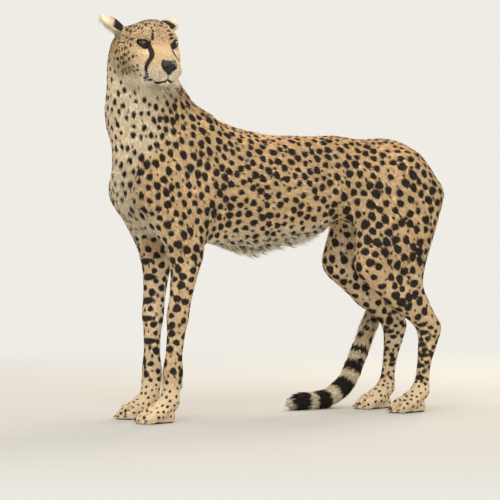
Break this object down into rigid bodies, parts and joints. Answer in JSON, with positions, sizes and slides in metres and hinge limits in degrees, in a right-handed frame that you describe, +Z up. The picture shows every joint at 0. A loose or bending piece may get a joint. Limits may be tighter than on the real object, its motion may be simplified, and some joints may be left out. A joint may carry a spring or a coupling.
{
  "type": "cheetah",
  "caption": "Life-size standing cheetah with its head turned to its left and its tail laid on the floor, parted into head, neck, trunk, legs and tail.",
  "frame": {"origin": "middle of the bounding box at the floor", "axes": "+Z up, the animal heads towards -X and its left side is towards -Y"},
  "size_m": [1.0114, 0.3562, 1.0116],
  "materials": {
    "coat": "short fur, tan with black spots",
    "eye": "wet gloss, amber brown with a dark pupil",
    "nose": "moist black skin"
  },
  "bodies": {
    "root": {"tail_base": "coat", "tail_middle": "coat", "tail_tip": "coat", "trunk": "coat", "neck": "coat", "foreleg_upper_left": "coat", "foreleg_lower_left": "coat", "forepaw_left": "coat", "thigh_left": "coat", "shank_left": "coat", "hind_foot_left": "coat", "hind_paw_left": "coat", "foreleg_upper_right": "coat", "foreleg_lower_right": "coat", "forepaw_right": "coat", "thigh_right": "coat", "shank_right": "coat", "hind_foot_right": "coat", "hind_paw_right": "coat", "eye_right": "eye", "eye_left": "eye", "nose": "nose", "ear_right": "coat", "ear_left": "coat", "head": "coat"}
  },
  "joints": []
}
